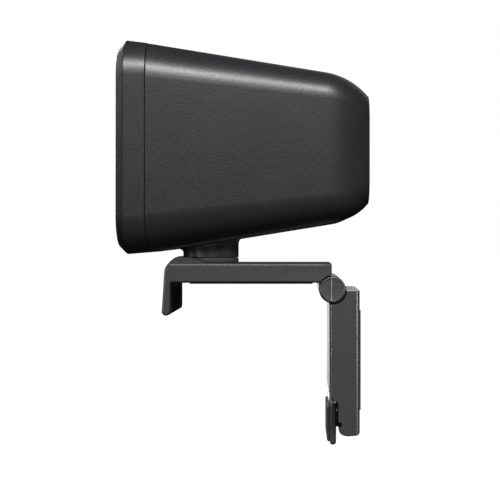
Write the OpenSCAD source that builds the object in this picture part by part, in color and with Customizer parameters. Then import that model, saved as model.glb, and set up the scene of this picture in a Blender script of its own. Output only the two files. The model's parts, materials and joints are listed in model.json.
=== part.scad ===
// Webcam head on a fold-flat monitor clip. Millimetres.
// +Z up, the lens faces -Y, X runs across the width.
// Origin: centre of the bottom face of the pad under the clip's arm.

/* [Camera head] */
// Overall width at the front
head_w = 79; // [77:0.5:82]
// Overall height at the front
head_h = 48; // [47:0.5:50]
// Height of the head's centre above the pad
head_z = 31.3; // [31.3:0.1:34]
// Housing wall thickness
wall = 2.2; // [1.8:0.1:2.4]
// Width of the angled edge round the front face
front_bevel = 1.75; // [1.4:0.05:2]
// Depth of the front bezel
bezel_d = 6.5; // [6.2:0.1:6.8]
// Corner radius of the front outline
corner_r = 8.7; // [8:0.1:9.5]
// Inward slope of the sides, in degrees
side_slope = 8.5; // [8:0.1:9]
// Inward slope of the top, in degrees
top_slope = 8.4; // [8:0.05:8.8]
// Upward slope of the underside, in degrees
under_slope = 9.15; // [8.8:0.05:9.4]

/* [Lens] */
// Outer radius of the trim ring
ring_r = 17.5; // [16.5:0.1:18.5]
// Radius of the cover glass
glass_r = 11.5; // [11:0.1:12]
// How far the trim ring stands proud of the front plate
ring_proud = 1.45; // [1:0.05:1.8]

/* [Neck] */
// Radius of the round neck
neck_r = 6.93; // [6.8:0.01:7.1]
// Distance of the neck's axis ahead of the pad's centre
neck_y = 10.6; // [10.3:0.1:10.9]
// Radius of the mounting screw's shank
screw_r = 3.175; // [3.1:0.005:3.2]

/* [Clip arm] */
// Width of the arm and leg
clip_w = 30; // [29.5:0.5:32]
// Height of the arm's top face above the pad
arm_top = 5.05; // [5:0.05:5.4]
// Reach of the front lip below the pad
lip_drop = 7.6; // [7.4:0.1:7.8]
// Height of the raised saddle's crest above the pad
saddle_top = 6.8; // [6.6:0.05:6.9]
// Length of the pad from front to back
pad_l = 29.4; // [28:0.1:29.6]

/* [Hinge and leg] */
// Radius of the hinge barrel and end caps
barrel_r = 3.2; // [3.12:0.01:3.22]
// Radius of the hinge pin
pin_r = 1.25; // [1.15:0.05:1.3]
// Length of the leg below the hinge axis
leg_l = 35; // [34.6:0.1:35.4]
// Leg thickness from front to back
leg_t = 7.3; // [7.1:0.1:7.5]

/* [Foot] */
// Width of the tilting foot
foot_w = 20; // [18:0.5:21]
// Height of the tilting foot
foot_h = 9.4; // [8.8:0.1:9.5]
// Radius of the foot's pivot pin
foot_pin_r = 0.6; // [0.55:0.05:0.65]

/* [Hidden] */
$fn = 64;
face_y = -28.8;
seam_y = face_y + bezel_d;
optic_y = face_y + 2.5;
rear_y = face_y + 56.4;
seam_gap = 0.15;
bezel_slope = 7;
bezel_in = (bezel_d - front_bevel) * tan(bezel_slope);
bend_y = rear_y - 10;
under_bend_y = rear_y - 7.4;
bend_r = 17.5;
under_bend_r = 12;
neck_bottom = arm_top + 1.1;
arm_front = -20.7;
arm_rear = 19.3;
arm_under = 0.26;
hinge_y = 19.46;
hinge_z = -1.38;
swing_r = barrel_r + 0.32;
knuckle_in = 10.2;
cap_x = clip_w / 2 - 1;
leg_front = hinge_y - 0.74;
leg_rear = leg_front + leg_t;
leg_top = hinge_z - 0.2;
leg_bottom = hinge_z - leg_l;
foot_y = 21.2;
foot_z = hinge_z - 32.22;
foot_front = 18.25;
foot_back = 20.5;
foot_top = foot_z + 3.8;
relief_w = foot_w + 2.6;
relief_y = 23.35;
charcoal = [0.06, 0.062, 0.068];
soft_black = [0.03, 0.03, 0.032];
steel = [0.62, 0.63, 0.65];
brass_tone = [0.72, 0.56, 0.28];
board_green = [0.03, 0.16, 0.09];
chip_black = [0.02, 0.02, 0.022];
clear_glass = [0.55, 0.62, 0.66, 0.4];
screw_spots = [for (dz = [-17.4, 17.4]) for (x = [-33, 33]) [x, head_z + dz]];
board_spots = [[-27, 19.5], [27, 19.5], [-27, 43], [27, 43]];

// ---- shared shapes ----

// Cylinder along +Y from y0 to y1 at (x, z).
module rod_y(x, z, y0, y1, r) {
    translate([x, y0, z]) rotate([-90, 0, 0]) cylinder(h = y1 - y0, r = r);
}

// Cylinder along +X from x0 to x1 at (y, z).
module rod_x(y, z, x0, x1, r) {
    translate([x0, y, z]) rotate([0, 90, 0]) cylinder(h = x1 - x0, r = r);
}

// Tube along +Y.
module tube_y(x, z, y0, y1, outer_r, inner_r) {
    difference() {
        rod_y(x, z, y0, y1, outer_r);
        rod_y(x, z, y0 - 1, y1 + 1, inner_r);
    }
}

// Box given by two corners.
module block(low, high) {
    translate(low) cube(high - low);
}

// Side profile (Y, Z) drawn out along X.
module side_prism(x0, x1) {
    translate([x0, 0, 0]) rotate([90, 0, 90]) linear_extrude(height = x1 - x0) children();
}

// Front profile (X, Z) drawn out along Y.
module front_prism(y0, y1) {
    translate([0, y1, 0]) rotate([90, 0, 0]) linear_extrude(height = y1 - y0) children();
}

// Rounded rectangle about (0, 0).
module soft_rect(w, h, r) {
    square([w - 2 * r, h], center = true);
    square([w, h - 2 * r], center = true);
    for (sx = [-1, 1]) {
        for (sy = [-1, 1]) {
            translate([sx * (w / 2 - r), sy * (h / 2 - r)]) circle(r = r);
        }
    }
}

// Points of one rounded outline at depth y.
function outline(y, half_w, low, high, r, steps = 7) = [
    for (q = [0:3])
        for (i = [0:steps])
            let (
                a = 90 * q + 90 * i / steps,
                cx = (q == 0 || q == 3) ? half_w - r : r - half_w,
                cz = (q < 2) ? high - r : low + r
            )
            [cx + r * cos(a), y, cz + r * sin(a)]
];

// Solid skinned over a run of outlines, front to back.
module loft(rings) {
    n = len(rings[0]);
    m = len(rings);
    sides = [
        for (j = [0:m - 2])
            for (i = [0:n - 1])
                for (t = [0:1])
                    let (
                        k = (i + 1) % n,
                        a = j * n + i,
                        b = j * n + k,
                        c = (j + 1) * n + k,
                        d = (j + 1) * n + i
                    )
                    t == 0 ? [a, b, c] : [a, c, d]
    ];
    front = [for (i = [n - 1:-1:0]) i];
    back = [for (i = [0:n - 1]) (m - 1) * n + i];
    polyhedron(points = [for (ring = rings) for (p = ring) p], faces = concat([front, back], sides));
}

// ---- the housing's outer form ----

// How far a wall has moved in at depth y: a straight slope, then a rounded bend.
function moved_in(y, bend_at, slope, r) =
    y < bend_at
        ? (y - seam_y) * tan(slope)
        : (bend_at - seam_y) * tan(slope)
            + r * (cos(slope) - cos(asin(sin(slope) + (y - bend_at) / r)));

function half_w_at(y) = head_w / 2 - bezel_in - moved_in(y, bend_y, side_slope, bend_r);
function top_at(y) = head_z + head_h / 2 - bezel_in - moved_in(y, bend_y, top_slope, bend_r);
function under_at(y) =
    head_z - head_h / 2 + bezel_in + moved_in(y, under_bend_y, under_slope, under_bend_r);
function corner_at(y) = corner_r - 2.6 * (y - seam_y) / (rear_y - seam_y);
function shell_ring(y, skin) =
    outline(y, half_w_at(y) - skin, under_at(y) + skin, top_at(y) - skin, corner_at(y) - skin);
function depths(y0, y1) = concat(
    [y0, (y0 + bend_y) / 2, bend_y],
    [for (i = [1:9]) bend_y + (y1 - bend_y) * i / 9]
);

module housing_form() {
    loft([for (y = depths(seam_y + seam_gap, rear_y)) shell_ring(y, 0)]);
}

module housing_hollow() {
    loft([for (y = depths(seam_y - 1, rear_y - wall)) shell_ring(y, wall)]);
}

// ---- front ----

function front_ring(y, grow) = outline(
    y, head_w / 2 + grow, head_z - head_h / 2 - grow, head_z + head_h / 2 + grow,
    corner_r + grow
);

module front_opening(y0, y1, skin) {
    front_prism(y0, y1) translate([0, head_z])
        soft_rect(head_w - 2 * skin, head_h - 2 * skin, corner_r - skin);
}

module front_bezel() {
    color(charcoal) {
        difference() {
            loft([
                front_ring(face_y, -front_bevel),
                front_ring(face_y + front_bevel, 0),
                front_ring(seam_y - seam_gap, -bezel_in)
            ]);
            front_opening(face_y - 1, face_y + 2, 2.9);
            front_opening(face_y, face_y + 4, 5);
            front_opening(face_y + 3.2, seam_y + 1, 2.5);
            for (s = screw_spots) {
                rod_y(s[0], s[1], face_y + 1, face_y + 3.1, 2.4);
                rod_y(s[0], s[1], face_y + 1, face_y + 4, 1.3);
            }
        }
        for (s = screw_spots) {
            difference() {
                intersection() {
                    rod_y(s[0], s[1], face_y + 3.1, face_y + 5.9, 4.4);
                    front_opening(face_y + 2.5, face_y + 6.5, 2.3);
                }
                rod_y(s[0], s[1], face_y + 2.5, face_y + 6.5, 1.3);
            }
        }
    }
}

module front_plate() {
    color(soft_black) difference() {
        front_opening(face_y + 0.15, face_y + 1.9, 2.95);
        rod_y(0, head_z, face_y - 1, face_y + 3, 14.1);
        rod_y(27.5, head_z, face_y - 1, face_y + 3, 1);
    }
}

module lens_ring() {
    color(soft_black) difference() {
        union() {
            rod_y(0, head_z, face_y + 0.15 - ring_proud, face_y + 0.15, ring_r);
            rod_y(0, head_z, face_y + 0.15, face_y + 3.5, 14);
        }
        rod_y(0, head_z, face_y + 1.1, face_y + 4, glass_r);
        translate([0, face_y - ring_proud, head_z]) rotate([-90, 0, 0])
            cylinder(h = ring_proud + 1.2, r1 = glass_r + 2.2, r2 = glass_r - 0.6);
    }
}

module lens_window() {
    color(clear_glass) rod_y(0, head_z, face_y + 1.1, face_y + 2.1, glass_r - 0.05);
}

module lens_gasket() {
    color(soft_black) tube_y(0, head_z, face_y + 2.1, face_y + 2.5, 10.9, 9.3);
}

// ---- optics ----

module lens_barrel() {
    color(soft_black) difference() {
        union() {
            rod_y(0, head_z, optic_y, optic_y + 6, 10.4);
            rod_y(0, head_z, optic_y + 6, -9, 8.1);
        }
        rod_y(0, head_z, optic_y - 1, optic_y + 4.4, 8.7);
        rod_y(0, head_z, optic_y + 4, -11, 6.2);
        rod_y(0, head_z, -12, -8, 4.4);
    }
}

module lens_retainer() {
    color(steel) tube_y(0, head_z, optic_y + 0.05, optic_y + 1, 8.7, 7.5);
}

// Biconvex glass of rim radius r, centre thickness t and face radius curve.
module biconvex(y, r, t, curve) {
    translate([0, y, head_z]) rotate([-90, 0, 0]) rotate_extrude() intersection() {
        translate([0, -t]) square([r, 2 * t]);
        translate([0, t / 2 - curve]) circle(r = curve, $fn = 240);
        translate([0, curve - t / 2]) circle(r = curve, $fn = 240);
    }
}

module lens_element_front() {
    color(clear_glass) biconvex(optic_y + 2.8, 8.7, 3.6, 26);
}

module lens_element_middle() {
    color(clear_glass) biconvex(-19.2, 6.2, 3, 15);
}

module lens_element_rear() {
    color(clear_glass) biconvex(-13, 6.2, 3, 14);
}

module lens_spacer() {
    color(soft_black) tube_y(0, head_z, -17.4, -14.8, 6.2, 5);
}

module lens_holder() {
    color(soft_black) difference() {
        union() {
            rod_y(0, head_z, -16, -4, 10.6);
            block([-15, -7.5, head_z - 8], [15, -4, head_z + 8]);
        }
        rod_y(0, head_z, -17, -8.6, 8.15);
        block([-4.6, -9.6, head_z - 4.6], [4.6, -3, head_z + 4.6]);
        rod_y(-12.6, head_z, -8, -3, 1.15);
        rod_y(12.6, head_z, -8, -3, 1.15);
    }
}

module holder_screw(x) {
    color(steel) difference() {
        union() {
            rod_y(x, head_z, -9.1, -7.5, 2);
            rod_y(x, head_z, -7.5, -0.4, 1);
        }
        translate([x, -9.6, head_z]) rotate([-90, 0, 0]) cylinder(h = 1.2, r = 0.9, $fn = 6);
    }
}

module ir_filter() {
    color(clear_glass) block([-4.5, -7, head_z - 4.5], [4.5, -6.5, head_z + 4.5]);
}

module image_sensor() {
    color(chip_black) {
        block([-4.3, -4.9, head_z - 3.6], [4.3, -4, head_z + 3.6]);
        block([-3.4, -5, head_z - 2.4], [3.4, -4.9, head_z + 2.4]);
    }
}

module sensor_board() {
    color(board_green) difference() {
        block([-16, -4, head_z - 11], [16, -3, head_z + 11]);
        rod_y(-12.6, head_z, -5, -2, 1.15);
        rod_y(12.6, head_z, -5, -2, 1.15);
    }
}

module standoff(x) {
    color(brass_tone) difference() {
        translate([x, -3, head_z]) rotate([-90, 0, 0]) cylinder(h = 4, r = 2.4, $fn = 6);
        rod_y(x, head_z, -4, 2, 1);
    }
}

module board_connector() {
    color(chip_black) difference() {
        block([-8, -3, head_z - 8.5], [8, 1, head_z - 5]);
        block([-7, -1.6, head_z - 7.8], [7, -0.6, head_z - 4]);
    }
}

// ---- electronics ----

module main_board() {
    color(board_green) difference() {
        block([-30.5, 1, 16.6], [30.5, 2.2, 45.6]);
        for (s = board_spots) {
            rod_y(s[0], s[1], 0, 3, 1.25);
        }
    }
}

module board_screw(i) {
    color(steel) difference() {
        union() {
            rod_y(board_spots[i][0], board_spots[i][1], -0.2, 1, 2.1);
            rod_y(board_spots[i][0], board_spots[i][1], 1, 8, 1);
        }
        translate([board_spots[i][0], -1, board_spots[i][1]]) rotate([-90, 0, 0])
            cylinder(h = 1.5, r = 0.9, $fn = 6);
    }
}

module processor() {
    color(chip_black) block([-6, 2.2, 30], [6, 3.3, 42]);
}

module shield_can() {
    color(steel) difference() {
        block([-10, 2.2, 26], [10, 4.4, 45]);
        block([-9.8, 2, 26.2], [9.8, 4.2, 44.8]);
    }
}

module thermal_pad() {
    color([0.45, 0.5, 0.58]) block([-8, 4.4, 28], [8, 5.4, 43]);
}

module heat_sink() {
    color(steel) {
        block([-22, 5.4, 27.4], [22, 7.2, 44.4]);
        for (i = [0:10]) {
            block([-21.6 + 4.2 * i, 7.2, 27.4], [-20.4 + 4.2 * i, 15, 44.4]);
        }
    }
}

module status_led() {
    color([0.9, 0.9, 0.86]) block([26.7, 0.3, head_z - 0.8], [28.3, 1, head_z + 0.8]);
}

module led_light_pipe() {
    color([0.85, 0.87, 0.9, 0.6]) {
        rod_y(27.5, head_z, face_y + 0.2, 0.2, 0.9);
        rod_y(27.5, head_z, face_y + 1.95, face_y + 3.2, 2);
    }
}

module usb_board() {
    color(board_green) block([-9, 10, 23.2], [9, 24, 24.2]);
}

module usb_shell() {
    color(steel) difference() {
        front_prism(19.4, rear_y - 0.35) translate([0, 25.83]) soft_rect(8.94, 3.26, 1.6);
        front_prism(19.9, rear_y + 1) translate([0, 25.83]) soft_rect(8.34, 2.66, 1.3);
    }
}

module usb_tongue() {
    color(chip_black) {
        front_prism(19.9, 21.4) translate([0, 25.83]) soft_rect(8.28, 2.6, 1.27);
        block([-3.35, 21.4, 25.48], [3.35, rear_y - 1.2, 26.18]);
    }
}

// ---- rear housing, neck and its screws ----

// Straight neck whose top flares into the sloping underside.
module neck_form() {
    flare_z = under_at(-neck_y) - 1.6;
    translate([0, -neck_y, neck_bottom]) cylinder(h = 5, r = neck_r);
    translate([0, -neck_y, flare_z]) rotate([under_slope, 0, 0]) rotate_extrude() polygon([
        [0, 0], [neck_r - 0.5, 0], [neck_r + 0.12, 0.8], [neck_r + 0.55, 1.25],
        [neck_r + 1.4, 1.6], [neck_r + 1.4, 2.4], [0, 2.4]
    ]);
}

module rear_housing() {
    color(charcoal) difference() {
        union() {
            difference() {
                housing_form();
                housing_hollow();
            }
            intersection() {
                housing_form();
                union() {
                    for (s = screw_spots) {
                        rod_y(s[0], s[1], seam_y, -12, 3.4);
                    }
                    for (s = board_spots) {
                        rod_y(s[0], s[1], 2.2, rear_y, 2.8);
                    }
                }
            }
            difference() {
                front_opening(seam_y - 2.2, seam_y + 1.5, 2.6);
                front_opening(seam_y - 3, seam_y + 2, 4);
                for (s = screw_spots) {
                    rod_y(s[0], s[1], seam_y - 3, face_y + 6.1, 4.6);
                }
            }
            neck_form();
            translate([0, -neck_y, under_at(-neck_y)]) cylinder(h = 7, r = 6.4);
        }
        for (s = screw_spots) {
            rod_y(s[0], s[1], seam_y - 1, -13, 1);
        }
        for (s = board_spots) {
            rod_y(s[0], s[1], 1, 9, 1);
        }
        translate([0, -neck_y, neck_bottom - 1]) cylinder(h = 9.4, r = 4.4);
        front_prism(rear_y - 4, rear_y + 1) translate([0, 25.83]) soft_rect(9.6, 3.9, 1.9);
        front_prism(rear_y - 1, rear_y + 1) translate([0, 35.2]) soft_rect(36, 9, 2);
        front_prism(rear_y - 4, rear_y + 1) translate([0, 35.2]) soft_rect(33, 6.4, 1.2);
    }
}

module rear_grille() {
    color(soft_black) difference() {
        front_prism(rear_y - 1, rear_y - 0.2) translate([0, 35.2]) soft_rect(35.8, 8.8, 1.9);
        for (i = [-6:6]) {
            front_prism(rear_y - 2, rear_y + 1) translate([2.4 * i, 35.2]) soft_rect(1.2, 5.6, 0.55);
        }
    }
}

module housing_screw(i) {
    color(steel) difference() {
        union() {
            rod_y(screw_spots[i][0], screw_spots[i][1], face_y + 2, face_y + 3.1, 2.2);
            rod_y(screw_spots[i][0], screw_spots[i][1], face_y + 3.1, -13.6, 1);
        }
        translate([screw_spots[i][0], face_y + 1.5, screw_spots[i][1]]) rotate([-90, 0, 0])
            cylinder(h = 1.2, r = 0.95, $fn = 6);
    }
}

module tripod_insert() {
    color(brass_tone) translate([0, -neck_y, neck_bottom + 0.3]) difference() {
        cylinder(h = 7.6, r = 4.4);
        translate([0, 0, -1]) cylinder(h = 10, r = screw_r);
    }
}

module mounting_screw() {
    color(steel) translate([0, -neck_y, 0]) difference() {
        union() {
            translate([0, 0, 0.7]) cylinder(h = 1.3, r = 5.6);
            translate([0, 0, 1.9]) cylinder(h = neck_bottom + 4.6, r = screw_r);
        }
        translate([-6, -0.6, 0]) cube([12, 1.2, 1.5]);
    }
}

module spring_washer() {
    color(steel) translate([0, -neck_y, 2]) rotate_extrude()
        polygon([[screw_r + 0.1, 0.45], [5, 0], [5, 0.3], [screw_r + 0.1, 0.75]]);
}

// ---- clip arm ----

module arm_side() {
    lip_out = 0.0507;
    difference() {
        union() {
            polygon([
                [arm_rear, arm_under], [arm_rear, arm_top - 0.6], [arm_rear - 0.6, arm_top],
                [arm_front + 0.9, arm_top], [arm_front + 0.2, arm_top - 0.35],
                [arm_front, arm_top - 1],
                [arm_front - lip_out * (lip_drop + arm_top - 1.8), 0.8 - lip_drop],
                [-19.2, 0.8 - lip_drop], [-19.2, arm_under - 0.6],
                [-18.6, arm_under]
            ]);
            translate([-20.27, 0.8 - lip_drop]) circle(r = 1.06);
        }
        translate([-30, -lip_drop - 2]) square([20, 2]);
    }
}

// Outline of the arm from the front, with its upper long edges taken off.
module arm_front_view() {
    half = clip_w / 2;
    polygon([
        [-half, -9], [half, -9], [half, arm_top - 0.55], [half - 0.55, arm_top],
        [0.55 - half, arm_top], [-half, arm_top - 0.55]
    ]);
}

module arm_plate() {
    intersection() {
        side_prism(-clip_w / 2, clip_w / 2) arm_side();
        front_prism(-24, 20) arm_front_view();
        translate([0, -1, -10]) linear_extrude(height = 20) soft_rect(clip_w, 41, 2.2);
    }
}

module saddle() {
    crest_r = 4.4;
    arch_r = 65;
    difference() {
        intersection() {
            rod_x(-16.6, saddle_top - crest_r, -clip_w / 2, clip_w / 2, crest_r);
            rod_y(0, saddle_top - arch_r, -22, -10, arch_r, $fn = 360);
            block([-clip_w / 2 + 0.3, arm_front, arm_top - 1], [clip_w / 2 - 0.3, -12, 9]);
        }
        translate([0, -neck_y, arm_top]) cylinder(h = 4, r = neck_r + 0.42);
    }
}

module arm_knuckle(x0) {
    side_prism(x0, x0 + cap_x - knuckle_in) translate([hinge_y, hinge_z]) {
        circle(r = barrel_r);
        translate([-barrel_r, 0]) square([barrel_r - 0.16, 2.4]);
    }
}

module clip_arm() {
    half = clip_w / 2;
    color(charcoal) difference() {
        union() {
            difference() {
                union() {
                    arm_plate();
                    saddle();
                }
                rod_x(hinge_y, hinge_z, -20, 20, swing_r);
                for (sx = [-1, 1]) {
                    for (i = [0:2]) {
                        block(
                            [sx * 6.9 - 5.9, -2.6 + 6 * i, 0],
                            [sx * 6.9 + 5.9, 2.6 + 6 * i, 3.2]
                        );
                    }
                    block([sx * 10.6 - 2.2, -14, 0], [sx * 10.6 + 2.2, -3.6, 3.2]);
                }
                block([0.9 - half, -pad_l / 2 - 0.1, 0], [half - 0.9, pad_l / 2 + 0.1, 1]);
                block([-10.1, -19.7, -7.1], [10.1, -18.6, -1.1]);
            }
            arm_knuckle(knuckle_in);
            arm_knuckle(-cap_x);
        }
        translate([0, -neck_y, -1]) cylinder(h = 4, r = 6);
        translate([0, -neck_y, 0]) cylinder(h = 12, r = screw_r + 0.07);
        rod_x(hinge_y, hinge_z, -20, 20, pin_r);
    }
}

module lip_pad() {
    color(soft_black) block([-10, -19.7, -7], [10, -19.05, -1.2]);
}

module seat_pad() {
    color(soft_black) difference() {
        block([1 - clip_w / 2, -pad_l / 2, 0], [clip_w / 2 - 1, pad_l / 2, 1]);
        translate([0, -neck_y, -1]) cylinder(h = 3, r = 6.3);
    }
}

module friction_washer() {
    color(soft_black) translate([0, -neck_y, arm_top]) difference() {
        cylinder(h = neck_bottom - arm_top - 0.08, r = neck_r);
        translate([0, 0, -1]) cylinder(h = 4, r = screw_r + 0.09);
    }
}

module hinge_pin() {
    color(steel) rod_x(hinge_y, hinge_z, 2.4 - clip_w / 2, clip_w / 2 - 2.4, pin_r);
}

// Bevelled disc at one end of the hinge, with a shallow line across it.
module hinge_cap(side) {
    color(soft_black) translate([0, hinge_y, hinge_z]) rotate([0, side * 90, 0]) difference() {
        union() {
            translate([0, 0, cap_x]) cylinder(h = 0.65, r = barrel_r);
            translate([0, 0, cap_x + 0.65]) cylinder(h = 0.33, r1 = barrel_r, r2 = barrel_r - 0.3);
            translate([0, 0, cap_x - 1.2]) cylinder(h = 1.5, r = pin_r);
        }
        translate([-2.4, -0.12, cap_x + 0.78]) cube([4.8, 0.24, 1]);
    }
}

// ---- leg ----

module leg_side() {
    tail = 20.9;
    notch = hinge_z - 25.6;
    difference() {
        polygon([
            [leg_front, leg_top], [leg_rear - 0.5, leg_top], [leg_rear, leg_top - 0.5],
            [leg_rear, leg_bottom + 1.1], [leg_rear - 0.8, leg_bottom + 0.25],
            [leg_rear - 3, leg_bottom], [tail + 1.5, leg_bottom + 0.15],
            [tail + 0.5, leg_bottom + 0.75], [tail, leg_bottom + 1.8],
            [tail, notch - 2.4], [tail - 0.3, notch - 1.4], [tail - 0.95, notch - 0.75],
            [leg_front + 0.45, notch - 0.1], [leg_front, notch + 0.5]
        ]);
        translate([leg_rear - 0.35, hinge_z - 29]) square([2, 24.2]);
    }
}

// Outline of the leg seen from above, with its four long edges taken off.
module leg_plan() {
    half = clip_w / 2;
    polygon([
        [1.3 - half, leg_front], [half - 1.3, leg_front], [half, leg_front + 1.3],
        [half, leg_rear - 1.3], [half - 0.4, leg_rear - 0.4], [half - 1.3, leg_rear],
        [1.3 - half, leg_rear], [0.4 - half, leg_rear - 0.4], [-half, leg_rear - 1.3],
        [-half, leg_front + 1.3]
    ]);
}

module leg() {
    color(charcoal) difference() {
        union() {
            difference() {
                intersection() {
                    side_prism(-clip_w / 2, clip_w / 2) leg_side();
                    translate([0, 0, -40]) linear_extrude(height = 40) leg_plan();
                }
                rod_x(hinge_y, hinge_z, knuckle_in - 0.3, 20, swing_r);
                rod_x(hinge_y, hinge_z, -20, 0.3 - knuckle_in, swing_r);
                for (sx = [-1, 1]) {
                    for (i = [0:2]) {
                        block(
                            [sx * 6.6 - 5.8, leg_front - 1, -12.2 - 6.4 * i],
                            [sx * 6.6 + 5.8, leg_front + 3.8, -6.8 - 6.4 * i]
                        );
                    }
                }
                block(
                    [-relief_w / 2, leg_front - 1, leg_bottom - 2],
                    [relief_w / 2, relief_y, foot_top + 1.4]
                );
                block([-7.5, leg_front - 1, foot_top], [7.5, 21.6, foot_top + 3.4]);
            }
            rod_x(hinge_y, hinge_z, 0.3 - knuckle_in, knuckle_in - 0.3, barrel_r);
            side_prism(-2.6, 2.6) {
                translate([foot_y, foot_z]) circle(r = 1.7);
                translate([foot_y, foot_z - 1.7]) square([3, 3.4]);
            }
        }
        rod_x(hinge_y, hinge_z, -20, 20, 2.2);
        rod_x(foot_y, foot_z, -4, 4, foot_pin_r + 0.05);
    }
}

module leg_strip() {
    color(soft_black) block(
        [1.5 - clip_w / 2, leg_rear - 0.35, hinge_z - 28.9],
        [clip_w / 2 - 1.5, leg_rear + 0.25, hinge_z - 4.9]
    );
}

module friction_sleeve(x0) {
    color(steel) difference() {
        rod_x(hinge_y, hinge_z, x0, x0 + 6, 2.2);
        rod_x(hinge_y, hinge_z, x0 - 1, x0 + 7, pin_r + 0.03);
    }
}

// ---- foot ----

module foot() {
    low = foot_top - foot_h;
    color(charcoal) difference() {
        union() {
            side_prism(-foot_w / 2, foot_w / 2) polygon([
                [foot_front + 0.75, low + 0.4], [foot_front + 1.1, low],
                [foot_back - 0.6, low], [foot_back, low + 0.8], [foot_back, foot_top - 0.6],
                [foot_back - 0.5, foot_top], [foot_front + 0.75, foot_top]
            ]);
            side_prism(-6.5, 6.5) polygon([
                [foot_front + 0.8, foot_top - 0.6], [foot_back - 0.25, foot_top - 0.6],
                [foot_back - 0.25, foot_top + 1.5], [foot_back - 0.7, foot_top + 2.1],
                [foot_front + 0.9, foot_top + 2.1], [foot_front + 0.45, foot_top + 1.4],
                [foot_front + 0.45, foot_top + 0.1], [foot_front + 0.8, foot_top]
            ]);
            for (x = [-6, 3]) {
                side_prism(x, x + 3) translate([foot_y, foot_z]) {
                    circle(r = 1.8);
                    translate([-1.4, -1.8]) square([1.4, 3.6]);
                }
            }
        }
        block([-3, 19.25, foot_z - 2.3], [3, 24, foot_z + 2.3]);
        rod_x(foot_y, foot_z, -9, 9, foot_pin_r);
    }
}

module foot_pad() {
    low = foot_top - foot_h;
    color(soft_black) side_prism(0.25 - foot_w / 2, foot_w / 2 - 0.25) polygon([
        [foot_front, low + 1.1], [foot_front + 0.3, low + 0.8], [foot_front + 0.75, low + 0.8],
        [foot_front + 0.75, foot_top - 0.05], [foot_front + 0.4, foot_top - 0.05],
        [foot_front, foot_top - 0.5]
    ]);
}

module foot_pin() {
    color(steel) rod_x(foot_y, foot_z, -5.8, 5.8, foot_pin_r);
}

front_bezel();
front_plate();
lens_ring();
lens_window();
lens_gasket();
lens_barrel();
lens_retainer();
lens_element_front();
lens_element_middle();
lens_element_rear();
lens_spacer();
lens_holder();
holder_screw(-12.6);  // holder_screw_left
holder_screw(12.6);  // holder_screw_right
ir_filter();
image_sensor();
sensor_board();
standoff(-12.6);  // standoff_left
standoff(12.6);  // standoff_right
board_connector();
main_board();
board_screw(0);  // board_screw_a
board_screw(1);  // board_screw_b
board_screw(2);  // board_screw_c
board_screw(3);  // board_screw_d
processor();
shield_can();
thermal_pad();
heat_sink();
status_led();
led_light_pipe();
usb_board();
usb_shell();
usb_tongue();
rear_housing();
rear_grille();
housing_screw(0);  // housing_screw_a
housing_screw(1);  // housing_screw_b
housing_screw(2);  // housing_screw_c
housing_screw(3);  // housing_screw_d
tripod_insert();
mounting_screw();
spring_washer();
clip_arm();
lip_pad();
seat_pad();
friction_washer();
hinge_pin();
hinge_cap(-1);  // hinge_cap_left
hinge_cap(1);  // hinge_cap_right
leg();
leg_strip();
friction_sleeve(-9.7);  // friction_sleeve_left
friction_sleeve(3.7);  // friction_sleeve_right
foot();
foot_pad();
foot_pin();
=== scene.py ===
"""Looks for the webcam on its fold-flat monitor clip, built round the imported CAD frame.

Shapes are written in millimetres in the CAD frame and turned into metres as each mesh is made.
"""

import json
import math

import bmesh
import bpy
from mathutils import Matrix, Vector

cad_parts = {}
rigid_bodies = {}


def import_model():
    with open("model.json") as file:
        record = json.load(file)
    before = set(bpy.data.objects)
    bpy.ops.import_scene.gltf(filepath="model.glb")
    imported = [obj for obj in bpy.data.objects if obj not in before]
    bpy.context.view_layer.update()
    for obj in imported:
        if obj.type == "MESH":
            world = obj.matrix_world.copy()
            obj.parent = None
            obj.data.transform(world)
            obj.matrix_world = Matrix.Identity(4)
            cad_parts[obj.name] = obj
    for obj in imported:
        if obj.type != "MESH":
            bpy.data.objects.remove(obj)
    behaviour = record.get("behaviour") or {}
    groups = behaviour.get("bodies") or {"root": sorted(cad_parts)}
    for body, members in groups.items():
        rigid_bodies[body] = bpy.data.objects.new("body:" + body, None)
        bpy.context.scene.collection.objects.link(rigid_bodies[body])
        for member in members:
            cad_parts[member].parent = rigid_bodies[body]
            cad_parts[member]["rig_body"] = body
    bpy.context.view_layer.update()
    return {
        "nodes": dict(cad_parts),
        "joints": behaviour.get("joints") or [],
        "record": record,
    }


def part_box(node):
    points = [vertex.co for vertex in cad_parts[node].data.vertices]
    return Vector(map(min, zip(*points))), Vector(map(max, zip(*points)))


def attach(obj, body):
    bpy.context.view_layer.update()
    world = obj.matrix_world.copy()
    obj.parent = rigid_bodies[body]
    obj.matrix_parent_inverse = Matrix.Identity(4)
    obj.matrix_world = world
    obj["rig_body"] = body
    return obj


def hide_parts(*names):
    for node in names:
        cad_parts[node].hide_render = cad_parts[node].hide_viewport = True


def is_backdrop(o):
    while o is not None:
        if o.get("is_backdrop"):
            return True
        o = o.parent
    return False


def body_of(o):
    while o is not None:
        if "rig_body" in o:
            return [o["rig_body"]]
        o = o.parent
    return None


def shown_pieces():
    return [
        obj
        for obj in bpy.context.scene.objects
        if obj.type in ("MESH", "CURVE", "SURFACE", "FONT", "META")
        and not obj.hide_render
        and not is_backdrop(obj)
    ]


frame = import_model()

MM = 0.001


# ---- sizes, read from the CAD frame ----


def span(node):
    """Lowest and highest corner of a CAD node in millimetres."""
    low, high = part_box(node)
    return [c / MM for c in low], [c / MM for c in high]


def joint_at(name):
    """Y and Z of a hinge's axis in millimetres."""
    for joint in frame["joints"]:
        if joint["name"] == name:
            return joint["pos_m"][1] / MM, joint["pos_m"][2] / MM
    raise KeyError(name)


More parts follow.
